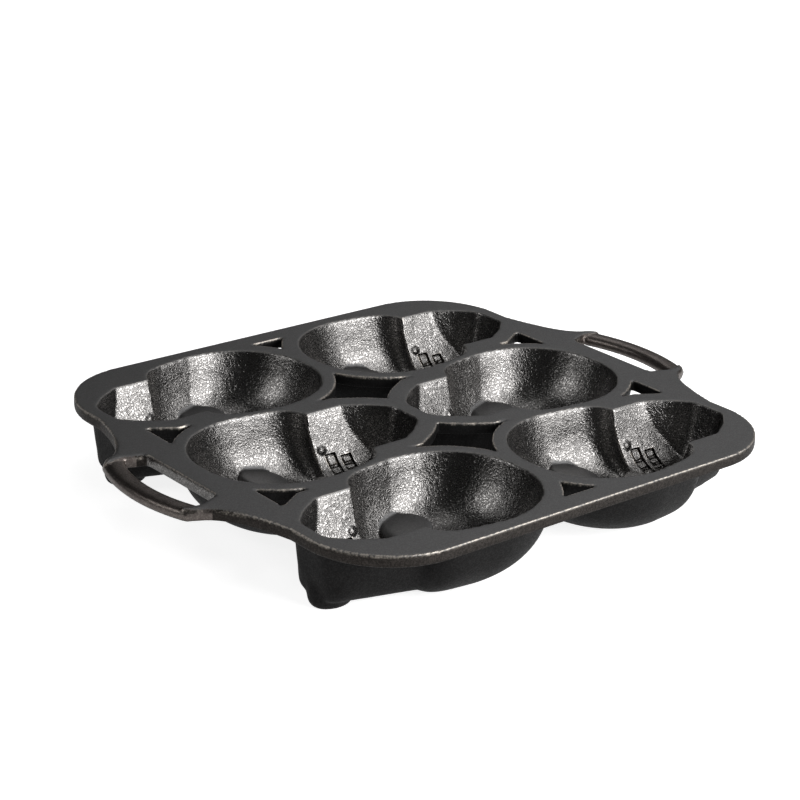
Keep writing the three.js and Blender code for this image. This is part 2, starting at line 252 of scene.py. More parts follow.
# Both halves, with corners rounded over a third of a side at most
def jawOutline(depth, share, sunk, form=skull, grow=0):
    half = jawHalf(share, sunk, form)
    corners = grown(np.array([corner * (1, -1) for corner in half] + half[::-1]), grow)
    roundings = np.array(skull["roundings"] + skull["roundings"][::-1]) * share
    gapsAfter = np.linalg.norm(np.roll(corners, -1, axis=0) - corners, axis=1)
    gapsBefore = np.roll(gapsAfter, 1)
    cuts = np.minimum(roundings, np.minimum(gapsBefore, gapsAfter) / 3)
    starts = corners + (np.roll(corners, 1, axis=0) - corners) * (cuts / gapsBefore)[:, None]
    ends = corners + (np.roll(corners, -1, axis=0) - corners) * (cuts / gapsAfter)[:, None]
    steps = skull["sideSteps"]
    points = []
    for place, corner in enumerate(corners):
        points.extend(quadCurve(starts[place], corner, ends[place], steps))
        nextStart = starts[(place + 1) % len(corners)]
        points.extend(ends[place] + (nextStart - ends[place]) * step / steps for step in range(1, steps))
    return np.column_stack((points, np.full(len(points), -depth)))


# Depths of a bowl's outlines, closer together towards its floor
def bowlDepths(fullDepth, rimDepths):
    steps = np.sin(quarterTurn(skull["levels"] + 1))[1:]
    return [*rimDepths, *(rimDepths[-1] + (fullDepth - rimDepths[-1]) * steps)]


def craniumBowl(name, form, grow=0):
    fullDepth, fullness, draft = (form[key] for key in ("craniumDepth", "craniumFullness", "craniumDraft"))
    outlines = []
    for depth in bowlDepths(fullDepth, form["rimDepths"]):
        share = bowlShare(depth, fullDepth, fullness, draft)
        outlines.append(craniumOutline(depth, share, form, grow))
    return stackOutlines(name, outlines)


def jawBowl(name, form, grow=0):
    fullDepth, fullness, draft = (form[key] for key in ("jawDepth", "jawFullness", "jawDraft"))
    outlines = []
    for depth in bowlDepths(fullDepth, form["rimDepths"]):
        share = bowlShare(depth, fullDepth, fullness, draft)
        outlines.append(jawOutline(depth, share, max(depth / fullDepth, 0), form, grow))
    return stackOutlines(name, outlines)


skullHollow = craniumBowl("skullHollow", skull)
jawHollow = jawBowl("jawHollow", skull)
combine(skullHollow, jawHollow, "UNION")
print("skull hollow modelled,", len(skullHollow.data.polygons), "faces")

# Raised eyes, nose and cheeks, and sunk teeth
face = {
    "eye": {
        "place": 70,
        "halfLength": 11.5,
        "halfWidth": 13.5,
        "pear": 0,
        "topDepth": 24.6,
        "tilt": 8,
        "shoulder": (1, 3.4),
    },
    "eyeSpread": 20,
    "nose": {
        "place": 51,
        "halfLength": 6.5,
        "halfWidth": 5,
        "pear": 0.4,
        "topDepth": 24,
        "tilt": 0,
        "shoulder": (1, 1),
    },
    "bossPoints": 72,
    "bossFootSize": 1.25,
    "bossFootDepth": 38,
    "shoulderRings": 7,
    "shoulderFall": 0.8,
    "cheekPlace": 37,
    "cheekSpread": 21,
    "cheekDepth": 19.3,
    "cheekRadius": 3.6,
    "teethRows": (
        {"place": 33, "perSide": 4, "pitch": 4.35},
        {"place": 24.6, "perSide": 5, "pitch": 3.1},
    ),
    "floorHalvings": 30,
    "toothLength": 6.6,
    "toothSink": 1.7,
    "toothTop": 2,
    "toothGroove": 1.05,
    "toothRounding": 0.7,
    "padRoot": 3,
    "padTop": 0.1,
    "padRounding": 0.7,
}


def bossOutline(form, spread, size, depth, slope, inset=0):
    angle = fullTurn(face["bossPoints"])
    along = (size * form["halfLength"] - inset) * np.cos(angle)
    across = (size * form["halfWidth"] - inset) * np.sin(angle) * (1 - form["pear"] * np.cos(angle))
    return np.column_stack((form["place"] + along, spread + across, slope * along - depth))


# Foot, then a shoulder that rounds off from its narrowest on the crown's side to its widest towards the chin
def boss(name, form, spread):
    slope = math.tan(math.radians(form["tilt"]))
    narrowest, widest = form["shoulder"]
    chinward = (1 - np.cos(fullTurn(face["bossPoints"]))) / 2
    width = narrowest + (widest - narrowest) * chinward**2
    rings = [bossOutline(form, spread, face["bossFootSize"], face["bossFootDepth"], 0)]
    for angle in quarterTurn(face["shoulderRings"]):
        inset = width * (1 - math.cos(angle))
        sink = face["shoulderFall"] * width * (1 - math.sin(angle))
        rings.append(bossOutline(form, spread, 1, form["topDepth"] + sink, slope, inset))
    return stackOutlines(name, rings)


faceHollow = copied(skullHollow, "faceHollow")
combine(faceHollow, boss("nose", face["nose"], 0), "DIFFERENCE")
for side in (-1, 1):
    combine(faceHollow, boss("eye", face["eye"], side * face["eyeSpread"]), "DIFFERENCE")
    clearSelection()
    cheekMiddle = Vector((face["cheekPlace"], side * face["cheekSpread"], -face["cheekDepth"])) * mm
    bpy.ops.mesh.primitive_uv_sphere_add(
        segments=32, ring_count=16, radius=face["cheekRadius"] * mm, location=cheekMiddle + Vector((0, 0, deckTop))
    )
    bpy.ops.object.transform_apply(location=True, rotation=True, scale=True)
    combine(faceHollow, bpy.context.object, "DIFFERENCE")


# Depth of the jaw's hollow at a place, found by halving the range it lies in
def jawFloor(place, across):
    above, below = 0, skull["jawDepth"]
    for halving in range(face["floorHalvings"]):
        depth = (above + below) / 2
        share = bowlShare(depth, skull["jawDepth"], skull["jawFullness"], skull["jawDraft"])
        corner, end = jawHalf(share, depth / skull["jawDepth"])[2:]
        side = np.interp(place, (corner[0], end[0]), (corner[1], end[1]))
        above, below = (depth, below) if side > across else (above, depth)
    return above


# Rounded block about the origin, from a low to a high level
def roundedBlock(name, length, width, low, high, rounding):
    piece = block(name, (-length / 2, -width / 2, low), (length / 2, width / 2, high))
    bpy.ops.object.mode_set(mode="EDIT")
    bpy.ops.mesh.select_all(action="SELECT")
    bpy.ops.mesh.bevel(offset=rounding * mm, segments=4)
    bpy.ops.object.mode_set(mode="OBJECT")
    piece.data.transform(Matrix.Translation((0, 0, -deckTop)))
    return piece


# Groove round a low pad, square to the jaw's floor where it lies
def toothPit(row, across):
    place, pitch = row["place"], row["pitch"]
    inner, middle, outer = (jawFloor(place, abs(across) + shift) for shift in (-pitch / 2, 0, pitch / 2))
    tilt = math.copysign(math.atan2(inner - outer, pitch), across)
    length, width = face["toothLength"], pitch / math.cos(tilt) + face["toothGroove"] / 2
    padLength, padWidth = length - 2 * face["toothGroove"], width - 2 * face["toothGroove"]
    pit = roundedBlock("toothPit", length, width, -face["toothSink"], face["toothTop"], face["toothRounding"])
    pad = roundedBlock("toothPad", padLength, padWidth, -face["padRoot"], face["padTop"], face["padRounding"])
    combine(pit, pad, "DIFFERENCE")
    pit.data.transform(Matrix.Rotation(tilt, 4, "X"))
    pit.data.transform(Matrix.Translation((place * mm, across * mm, deckTop - middle * mm)))
    return pit


toothPits = ([], [])  # neighbours in turn, so that no two of one set touch
for row in face["teethRows"]:
    for tooth in range(2 * row["perSide"]):
        toothPits[tooth % 2].append(toothPit(row, (tooth - row["perSide"] + 0.5) * row["pitch"]))
print("face modelled,", len(faceHollow.data.polygons), "faces")

# Outside of a cup
cup = {
    "wall": 4.4,
    "templeStart": 44.5,
    "templeSquareness": 6.5,
    "templeTaper": 0.09,
    "templeDraft": 1,
    "middle": 54,
    "craniumDepth": 38,
    "craniumFullness": 2.9,
    "craniumDraft": 0.06,
    "jawWall": 3.2,
    "jawDepth": 35.2,
    "jawFullness": 5,
    "jawDraft": 0.06,
    "jawFall": (0.92, 1),
    "jawFallAlong": (4, 46),
    "cornerNarrowing": 12,
    "rimDepths": (1, 6),
    "footPlace": 11,
    "footSize": (11.4, 9.2),
    "footRounding": 6,
    "footReach": 39.4,
    "footPoints": 64,
    "footRings": 9,
    "blendVoxel": 1.2,
    "blendRounds": 8,
    "voxel": 0.65,
    "rounds": 2,
    "seam": 6.02,
    "roomAlong": (-20, 140),
    "roomAcross": 60,
    "roomBottom": -60,
    "roomTop": 20,
    "floorCuts": 30,
    "seamCuts": 50,
    "collarRoom": (-50, -14),
    # box inside the hollow where the temple and jaw arrises take a painted highlight
    "glintAndWearBox": ((-20, -60, -26), (50, 60, -7.5)),
}


# Block over the whole of a cup between two levels, to cut it off there
def cupRoom(name, low, high, cuts=0):
    start, end = cup["roomAlong"]
    return block(name, (start, -cup["roomAcross"], low), (end, cup["roomAcross"], high), cuts)


def footOutline(inset, depth):
    angle = fullTurn(cup["footPoints"])
    halfLength, halfWidth = np.array(cup["footSize"]) - inset
    along = cup["footPlace"] + halfLength * np.cos(angle)
    return np.column_stack((along, halfWidth * np.sin(angle), np.full(len(angle), -depth)))


cupOutside = craniumBowl("cupOutside", cup, cup["wall"])
jawOutside = jawBowl("jawOutside", cup, cup["jawWall"])
for corner in jawOutside.data.vertices:
    fall = np.interp(corner.co.x / mm, cup["jawFallAlong"], cup["jawFall"])
    corner.co.z = deckTop + (corner.co.z - deckTop) * fall
combine(cupOutside, jawOutside, "UNION")
# Foot under the chin, with a rounded end: the skin blends it into the wall, and it is cut level with the cranium
footRings = [footOutline(0, skull["jawDepth"])]
for angle in quarterTurn(cup["footRings"]):
    inset = cup["footRounding"] * (1 - math.cos(angle))
    depth = cup["footReach"] - cup["footRounding"] * (1 - math.sin(angle))
    footRings.append(footOutline(inset, depth))
combine(cupOutside, stackOutlines("foot", footRings), "UNION")
castSkin(cupOutside, cup["blendVoxel"], cup["blendRounds"])
underFloor = cupRoom("underFloor", cup["roomBottom"], -cup["craniumDepth"], cup["floorCuts"])
combine(cupOutside, underFloor, "DIFFERENCE")

skullCup = copied(cupOutside, "skullCup")
combine(skullCup, faceHollow, "DIFFERENCE", keepTool=True)
castSkin(skullCup, cup["voxel"], cup["rounds"])
combine(skullCup, cupRoom("overSeam", -cup["seam"], cup["roomTop"], cup["seamCuts"]), "DIFFERENCE")
for pits in toothPits:
    combine(skullCup, joined(pits, "toothPits"), "DIFFERENCE")
print("cup modelled,", len(skullCup.data.polygons), "faces")

# Places of the six cups: chins at the ends in the outer rows, and at the middle in the middle row
rows = {"chinAtEnd": 123.8, "chinAtMiddle": 3.8, "pitch": 82.3}
cupPlaces = {}
for rowName, row in (("front", -1), ("middle", 0), ("back", 1)):
    for sideName, side in (("left", -1), ("right", 1)):
        atEnd = row != 0
        along = side * (rows["chinAtEnd"] if atEnd else rows["chinAtMiddle"])
        turn = math.pi if (side > 0) == atEnd else 0
        place = Matrix.Translation((along * mm, row * rows["pitch"] * mm, 0)) @ Matrix.Rotation(turn, 4, "Z")
        cupPlaces[f"cup_{rowName}_{sideName}"] = place

# Deck with its ears, holes and grips
deck = {
    "thickness": 6,
    "halfLength": 131,
    "halfWidth": 131.5,
    "cornerRadius": 44,
    "cornerPoints": 41,
    "crownRib": 7,
    "jawRib": 10,
    "edgeHoleRib": 9,
    "ribDepths": (-4, 10),
    "edgeRim": 11.5,
    "starSize": (82.6, 58),
    "sideHoleSize": (44, 26),
    "edgeHoleSize": (41, 20.5),
    "holeLevels": (-9, 3),
    "slotSide": 136,
    "slotEnd": 28,
    "slotRounding": 3,
    "slotSteps": 10,
    "earSide": 37.2,
    "earCorner": 6.6,
    "earFullness": 2.2,
    "earSteps": 14,
    "sweepLength": 39,
    "sweepLean": 7.2,
    "sweepLift": 5.2,
    "sweepSteps": 30,
    "topRound": 0.35,
    "topRings": 7,
    "earRound": 2.4,
    "earRoundSide": 70,
    "earRoundRun": 32,
    "earRoundPast": 137,
    "lowerRound": 1.2,
    "lowerRings": 6,
    "gridStep": 12,
    "gridShift": 4,
    "gridReach": (168, 132),
    "voxel": 0.88,
    "rounds": 1,
    "roomReach": 200,
    "roomBottom": -60,
    "seamCuts": 99,
    # box of the deck's top arrises, where the brightening is partly wear and partly painted highlight
    "glintAndWearBox": ((-180, -140, -2.6), (180, 140, 1)),
}
grip = {
    "halfSpan": 31,
    "bendRadius": 90,
    "bendCentre": 67.65,
    "width": 10.5,
    "thickness": 6.4,
    "drop": 0.7,
    "squareness": 2.5,
    "rootSpan": 32.4,
    "points": 48,
    "sections": 41,
    "roomAlong": (146.3, 175),
    "roomLevels": (-30, 10),
}


# Where a circle of the grip's bend meets the end of its span
def gripEnd(radius):
    return grip["bendCentre"] + math.sqrt(radius**2 - grip["halfSpan"] ** 2)


def deckOutline():
    outerEnd = gripEnd(grip["bendRadius"] + grip["width"] / 2)
    innerEnd = gripEnd(grip["bendRadius"] - grip["width"] / 2)
    angle = np.linspace(math.pi / 2, 0, deck["cornerPoints"])
    arcMiddle = np.array((deck["halfLength"] - deck["cornerRadius"], deck["halfWidth"] - deck["cornerRadius"]))
    arc = arcMiddle + deck["cornerRadius"] * np.column_stack((np.cos(angle), np.sin(angle)))
    sweepStart = np.array((deck["halfLength"], deck["earSide"] + deck["sweepLength"]))
    sweepControl = np.array((deck["halfLength"] + deck["sweepLean"], deck["earSide"] + deck["sweepLift"]))
    earStart = np.array((outerEnd - deck["earCorner"], deck["earSide"]))
    earControl = np.array((outerEnd - deck["earFullness"], grip["halfSpan"] + 2 * deck["earFullness"]))
    earEnd = np.array((outerEnd, grip["halfSpan"]))
    sweep = quadCurve(sweepStart, sweepControl, earStart, deck["sweepSteps"])
    ear = quadCurve(earStart, earControl, earEnd, deck["earSteps"])[1:]
    slotCorner = np.array((deck["slotSide"], deck["slotEnd"]))
    slotStart = slotCorner + (deck["slotRounding"], 0)
    slotSideStart = slotCorner - (0, deck["slotRounding"])
    slot = quadCurve(slotStart, slotCorner, slotSideStart, deck["slotSteps"])
    quarter = np.vstack((arc, sweep, ear, [(innerEnd, grip["halfSpan"])], slot))
    right = np.vstack((quarter, (quarter * (1, -1))[::-1]))
    left = (right * (-1, 1))[::-1]
    return np.vstack((right, left))[::-1]


outline = deckOutline()
nearGrip = np.clip((deck["earRoundSide"] - np.abs(outline[:, 1])) / deck["earRoundRun"], 0, 1)
nearGrip *= np.abs(outline[:, 0]) > deck["earRoundPast"]
topRound = deck["topRound"] + (deck["earRound"] - deck["topRound"]) * nearGrip**2
deckRings = []
for angle in quarterTurn(deck["topRings"]):
    inset = grown(outline, -topRound * (1 - math.sin(angle)))
    deckRings.append(np.column_stack((inset, -topRound * (1 - math.cos(angle)))))
for angle in quarterTurn(deck["lowerRings"]):
    inset = grown(outline, -deck["lowerRound"] * (1 - math.cos(angle)))
    height = -deck["thickness"] + deck["lowerRound"] * (1 - math.sin(angle))
    deckRings.append(np.column_stack((inset, np.full(len(inset), height))))
topDeck = stackOutlines("topDeck", deckRings)
pick(topDeck)
bpy.ops.object.mode_set(mode="EDIT")
# a grid of small faces, which take cuts cleanly
for direction, reach in zip(((1, 0, 0), (0, 1, 0)), deck["gridReach"]):
    for place in np.arange(-reach, reach, deck["gridStep"]) + deck["gridShift"]:
        bpy.ops.mesh.select_all(action="SELECT")
        bpy.ops.mesh.bisect(plane_co=np.array(direction) * place * mm, plane_no=direction)
bpy.ops.object.mode_set(mode="OBJECT")

collar = copied(cupOutside, "collar")
combine(collar, cupRoom("belowCollar", *cup["collarRoom"]), "DIFFERENCE")
for place in cupPlaces.values():
    combine(topDeck, copied(collar, "collarCopy", place), "UNION")
sixHollows = joined([copied(skullHollow, "hollowCopy", place) for place in cupPlaces.values()], "sixHollows")
combine(topDeck, sixHollows, "DIFFERENCE", keepTool=True)


# A hole is what a window leaves free between the ribs of iron round the cups.
def holesIn(name, windows, craniumRib):
    low, high = deck["holeLevels"]
    blocks = []
    for along, across, length, width in windows:
        start = (along - length / 2, across - width / 2, low)
        blocks.append(block(name, start, (along + length / 2, across + width / 2, high)))
    holes = joined(blocks, name)
    craniumOutlines = [craniumOutline(depth, 1, cup, craniumRib) for depth in deck["ribDepths"]]
    jawOutlines = [jawOutline(depth, 1, 0, cup, deck["jawRib"]) for depth in deck["ribDepths"]]
    ribs = stackOutlines("craniumRib", craniumOutlines)
    combine(ribs, stackOutlines("jawRib", jawOutlines), "UNION")
    for place in cupPlaces.values():
        combine(holes, copied(ribs, "ribCopy", place), "DIFFERENCE")
    bpy.data.objects.remove(ribs, do_unlink=True)
    return holes


innerWindows, edgeWindows = [], []
sideMiddle = deck["halfLength"] - deck["edgeRim"] - deck["sideHoleSize"][0] / 2
edgeMiddle = deck["halfWidth"] - deck["edgeRim"] - deck["edgeHoleSize"][1] / 2
for row in (-1, 1):
    between = row * rows["pitch"] / 2
    innerWindows.append((0, between, *deck["starSize"]))
    edgeWindows.append((0, row * edgeMiddle, *deck["edgeHoleSize"]))
    for side in (-1, 1):
        innerWindows.append((side * sideMiddle, between, *deck["sideHoleSize"]))
combine(topDeck, holesIn("innerHoles", innerWindows, deck["crownRib"]), "DIFFERENCE")
combine(topDeck, holesIn("edgeHoles", edgeWindows, deck["edgeHoleRib"]), "DIFFERENCE")


# Section of the grip's bar, stood up across the bend
def gripOutline(turn):
    angle = fullTurn(grip["points"])
    out = grip["width"] / 2 * signedPower(np.cos(angle), 2 / grip["squareness"])
    up = grip["thickness"] / 2 * signedPower(np.sin(angle), 2 / grip["squareness"])
    radius = grip["bendRadius"] + out
    height = up - grip["drop"] - grip["thickness"] / 2
    return np.column_stack((grip["bendCentre"] + radius * math.cos(turn), radius * math.sin(turn), height))


halfTurn = math.asin(grip["rootSpan"] / grip["bendRadius"])
gripTurns = np.linspace(-halfTurn, halfTurn, grip["sections"])
gripBar = stackOutlines("gripBar", [gripOutline(turn) for turn in gripTurns])
leftTurn = Matrix.Rotation(math.pi, 4, "Z")
combine(topDeck, copied(gripBar, "gripCopy", leftTurn), "UNION")
combine(topDeck, gripBar, "UNION")
castSkin(topDeck, deck["voxel"], deck["rounds"])
print("deck skin made,", len(topDeck.data.polygons), "faces")

# Deck and grips share one skin, and are parted at the grips' ends and at the seam with the cups.
roomStart, roomEnd = grip["roomAlong"]
roomLow, roomHigh = grip["roomLevels"]
gripRoom = block("gripRoom", (roomStart, -grip["halfSpan"], roomLow), (roomEnd, grip["halfSpan"], roomHigh))
gripRooms = {"grip_right": gripRoom, "grip_left": copied(gripRoom, "gripRoomLeft", leftTurn)}
pieces = {}
for node, room in gripRooms.items():
    pieces[node] = copied(topDeck, node.replace("_", "") + "Iron")
    combine(pieces[node], room, "INTERSECT", keepTool=True)
for room in gripRooms.values():
    combine(topDeck, room, "DIFFERENCE")
reach = deck["roomReach"]
belowSeam = block("belowSeam", (-reach, -reach, deck["roomBottom"]), (reach, reach, -cup["seam"]), deck["seamCuts"])
combine(topDeck, belowSeam, "DIFFERENCE")
pieces["top_deck"] = topDeck


def linear(hexColour):
    parts = [int(hexColour[place:place + 2], 16) / 255 for place in (1, 3, 5)]
    return (*(part / 12.92 if part <= 0.04045 else ((part + 0.055) / 1.055) ** 2.4 for part in parts), 1)


def addNode(material, kind, settings=None, links=None):
    node = material.node_tree.nodes.new(kind)
    for key, value in (settings or {}).items():
        if isinstance(key, int) or key in node.inputs:
            node.inputs[key].default_value = value
        else:
            setattr(node, key, value)
    for key, source in (links or {}).items():
        material.node_tree.links.new(source, node.inputs[key])
    return node


# Cast iron, sand cast and seasoned with baked-on oil: a dark, dim metal with a grainy skin that breaks its gloss into
# silvery points. The moulds keep their grain, the deck's top is smoother, its edge is rubbed a darker brown that is
# partly painted shade, the grips are polished by hands, and the outside is matt, in a dark colour that is painted
# shade under the pan and in the holes. Grain is drawn coarser than the sand's, so that it shows at this size.
# Sizes and rises are in millimetres, and each roughness runs from the grains' tops to the pits.
ironFinishes = {
    "deck": {
        "name": "seasoned cast iron, smooth deck",
        "colours": ("#6a6a6a", "#6f6e6e"),
        "patch": 20,
        "roughness": (0.46, 0.56),
        "grain": 1,
        "grainRise": 0.015,
        "pitShade": 0.86,
        "wave": 12,
        "waveRise": 0.1,
    },
    "mould": {
        "name": "seasoned cast iron, grainy mould",
        "colours": ("#838180", "#8c8a88"),
        "patch": 14,
        "roughness": (0.18, 0.34),
        "grain": 1.15,
        "grainRise": 0.05,
        "pitShade": 0.38,
        "wave": 8,
        "waveRise": 0.3,
    },
    # its dark colour is painted shade under the deck, on the cups' outsides and in the holes; the matt roughness is
    # the iron's own
    "outside": {
        "name": "seasoned cast iron, matt outside in painted shade",
        "colours": ("#2b2b2b", "#323131"),
        "patch": 16,
        "roughness": (0.52, 0.64),
        "grain": 1.1,
        "grainRise": 0.04,
        "pitShade": 0.7,
        "wave": 10,
        "waveRise": 0.3,
    },
    # the edge's darker brown is partly the iron's own tone and partly painted shade on the upright faces
    "edge": {
        "name": "seasoned cast iron, rubbed edge, partly painted shade",
        "colours": ("#373432", "#45413e"),
        "patch": 4,
        "roughness": (0.46, 0.6),
        "grain": 1.1,
        "grainRise": 0.04,
        "pitShade": 0.55,
        "wave": 6,
        "waveRise": 0.2,
    },
    "grip": {
        "name": "seasoned cast iron, handled grip",
        "colours": ("#6b6360", "#7d7671"),
        "patch": 5,
        "roughness": (0.3, 0.44),
        "grain": 1.1,
        "grainRise": 0.03,
        "pitShade": 0.6,
        "wave": 6,
        "waveRise": 0.2,
    },
}
finishOrder = tuple(ironFinishes)
ironGrain = {
    "noise": {"Detail": 1.5, "Roughness": 0.5, "Distortion": 0.5},
    "middle": 0.5,
    "pitWidth": 0.16,
    "shadeEnd": 0.8,
    "patchDetail": 3,
    "waveDetail": 1,
}
# Brightening of proud edges: on the deck and grips partly worn iron and partly painted highlight, in the cups'
# hollows only painted highlight
edgeWearAndGlint = {
    "colour": "#bdb5ab",
    "breakSize": 1.4,
    "breakDetail": 3,
    "breakLow": 0.36,
    "breakHigh": 0.56,
    "low": 0.04,
    "high": 0.11,
    "atRims": 0.25,
    "rimReach": 1.6,
}


# In a colour mix, socket 0 is the share, 6 and 7 are the colours, and output 2 is the result.
def castIron(finish):
    material = bpy.data.materials.new(finish["name"])
    material.use_nodes = True
    links = material.node_tree.links
    shader = material.node_tree.nodes["Principled BSDF"]
    shader.inputs["Metallic"].default_value = 1
    place = addNode(material, "ShaderNodeTexCoord").outputs["Object"]

    def noise(size, settings):
        scaled = {"Scale": 1 / (size * mm), **settings}
        return addNode(material, "ShaderNodeTexNoise", scaled, {"Vector": place}).outputs["Fac"]

    def ranged(value, settings):
        return addNode(material, "ShaderNodeMapRange", settings, {"Value": value}).outputs["Result"]

    def reckoned(operation, settings, values):
        return addNode(material, "ShaderNodeMath", {"operation": operation, **settings}, values).outputs[0]

    def mixed(settings, values):
        return addNode(material, "ShaderNodeMix", {"data_type": "RGBA", **settings}, values).outputs[2]

    def bumped(rise, values):
        settings = {"Strength": 1, "Distance": rise * mm}
        return addNode(material, "ShaderNodeBump", settings, values).outputs["Normal"]

    # grains parted by winding pits, where the noise crosses its middle
    grains = noise(finish["grain"], ironGrain["noise"])
    offMiddle = reckoned("SUBTRACT", {1: ironGrain["middle"]}, {0: grains})
    fromPit = reckoned("ABSOLUTE", {}, {0: offMiddle})
    height = ranged(fromPit, {"From Max": ironGrain["pitWidth"]})
    # patches of thicker and thinner seasoning, darker in the pits
    firstColour, secondColour = (linear(colour) for colour in finish["colours"])
    patches = noise(finish["patch"], {"Detail": ironGrain["patchDetail"]})
    seasoning = mixed({6: firstColour, 7: secondColour}, {0: patches})
    shade = ranged(height, {"From Max": ironGrain["shadeEnd"], "To Min": finish["pitShade"]})
    pitted = mixed({"blend_type": "MULTIPLY", 0: 1}, {6: seasoning, 7: shade})
    # edges brightened in broken runs: partly iron rubbed bright on the deck and grips, partly a painted highlight
    # along the arrises
    wornAndGlint = addNode(material, "ShaderNodeAttribute", {"attribute_name": "wearAndGlint"}).outputs["Fac"]
    breaks = noise(edgeWearAndGlint["breakSize"], {"Detail": edgeWearAndGlint["breakDetail"]})
    sharpBreaks = ranged(breaks, {"From Min": edgeWearAndGlint["breakLow"], "From Max": edgeWearAndGlint["breakHigh"]})
    # rubbed carries both the worn brightening and the painted highlight
    rubbed = reckoned("MULTIPLY", {}, {0: wornAndGlint, 1: sharpBreaks})
    metal = mixed({7: linear(edgeWearAndGlint["colour"])}, {0: rubbed, 6: pitted})
    links.new(metal, shader.inputs["Base Color"])
    # grain over broad waves
    waves = noise(finish["wave"], {"Detail": ironGrain["waveDetail"]})
    broad = bumped(finish["waveRise"], {"Height": waves})
    fine = bumped(finish["grainRise"], {"Height": height, "Normal": broad})
    links.new(fine, shader.inputs["Normal"])
    glossy, dull = finish["roughness"]
    links.new(ranged(height, {"To Min": dull, "To Max": glossy}), shader.inputs["Roughness"])
    return material


irons = [castIron(ironFinishes[key]) for key in finishOrder]


def faceTree(piece):
    return BVHTree.FromObject(piece, bpy.context.evaluated_depsgraph_get())


mouldTree = faceTree(faceHollow)
deckTree = faceTree(sixHollows)


# How far each point stands out from its neighbours, from 0 on a flat face to 1 on a sharp edge, inside a box
# this sets the worn brightening and painted highlight on edges; in the cups it is painted highlight only
def markWearAndGlint(piece, box, rims=None):
    mesh = piece.data
    count = len(mesh.vertices)
    places, normals = np.empty(count * 3), np.empty(count * 3)
    mesh.vertices.foreach_get("co", places)
    mesh.vertices.foreach_get("normal", normals)
    places, normals = places.reshape(-1, 3), normals.reshape(-1, 3)
    edges = np.empty(len(mesh.edges) * 2, int)
    mesh.edges.foreach_get("vertices", edges)
    first, second = edges.reshape(-1, 2).T
    sums, shares = np.zeros((count, 3)), np.zeros(count)
    for here, there in ((first, second), (second, first)):
        np.add.at(sums, here, places[there])
        np.add.at(shares, here, 1)
    proud = ((places - sums / np.maximum(shares, 1)[:, None]) * normals).sum(1) / mm
    wearAndGlint = np.clip((proud - edgeWearAndGlint["low"]) / (edgeWearAndGlint["high"] - edgeWearAndGlint["low"]), 0, 1)
    levels = (places - (0, 0, deckTop)) / mm
    wearAndGlint *= ((levels > box[0]) & (levels < box[1])).all(1)
    for number in np.flatnonzero(wearAndGlint):  # a cup's rim takes less of the worn brightening and painted highlight than the outer edge
        if rims and rims.find_nearest(places[number], edgeWearAndGlint["rimReach"] * mm)[0]:
            wearAndGlint[number] *= edgeWearAndGlint["atRims"]
    mesh.attributes.new("wearAndGlint", "FLOAT", "POINT").data.foreach_set("value", wearAndGlint.astype(np.float32))


# Each face takes the finish that the chooser names for it.
def paint(piece, chooser):
    mesh = piece.data
    mesh.materials.clear()
    for material in irons:
        mesh.materials.append(material)
    finishes = [finishOrder.index(chooser(polygon.center, polygon.normal)) for polygon in mesh.polygons]
    mesh.polygons.foreach_set("material_index", finishes)


# Where one finish ends and the next begins
finishLimits = {
    "cupMould": 2.4,
    "cupWallTurn": 0.4,
    "eyeTopSize": 1.04,
    "eyeTopRise": 1.6,
    "deckTop": 0.5,
    "deckMould": 1.2,
    "undersideTurn": -0.7,
    "holesReach": 122,
    "holesCorner": (87, 87.5),
    "holesCornerRadius": 38,
    "slotMargin": 1,
    "gripAlong": 141,
    "gripAcross": 40,
}


# Mould inside, smooth on the eyes' tops, and matt outside in a dark colour that is painted shade
def cupFinish(middle, normal):
    touch, ironward = mouldTree.find_nearest(middle, finishLimits["cupMould"] * mm)[:2]
    if touch is None or normal.dot(ironward) > finishLimits["cupWallTurn"]:
        return "outside"
    eye = face["eye"]
    along, across = middle.x / mm - eye["place"], abs(middle.y) / mm - face["eyeSpread"]
    fromMiddle = (along / eye["halfLength"]) ** 2 + (across / eye["halfWidth"]) ** 2
    eyeTop = deckTop + (math.tan(math.radians(eye["tilt"])) * along - eye["topDepth"]) * mm
    atTop = abs(middle.z - eyeTop) < finishLimits["eyeTopRise"] * mm
    return "deck" if atTop and fromMiddle < finishLimits["eyeTopSize"] else "mould"


# Smooth on top, grainy in the moulds and on the slot's long side, rubbed and darker brown at the edge, partly painted
# shade, and matt and dark below and in the holes, a dark colour that is painted shade
def deckFinish(middle, normal):
    if middle.z > deckTop - finishLimits["deckTop"] * mm:
        return "deck"
    if deckTree.find_nearest(middle, finishLimits["deckMould"] * mm)[0]:
        return "mould"
    along, across = abs(middle.x) / mm, abs(middle.y) / mm
    cornerAlong, cornerAcross = finishLimits["holesCorner"]
    corner = math.hypot(max(along - cornerAlong, 0), max(across - cornerAcross, 0))
    inHole = max(along, across) < finishLimits["holesReach"] and corner < finishLimits["holesCornerRadius"]
    # undersides and the holes' walls take the dark outside colour, which is painted shade
    if normal.z < finishLimits["undersideTurn"] or inHole:
        return "outside"
    margin = finishLimits["slotMargin"]
    if across < deck["slotEnd"] - margin and along < deck["slotSide"] + margin:
        return "mould"
    return "grip" if along > finishLimits["gripAlong"] and across < finishLimits["gripAcross"] else "edge"


paint(skullCup, cupFinish)
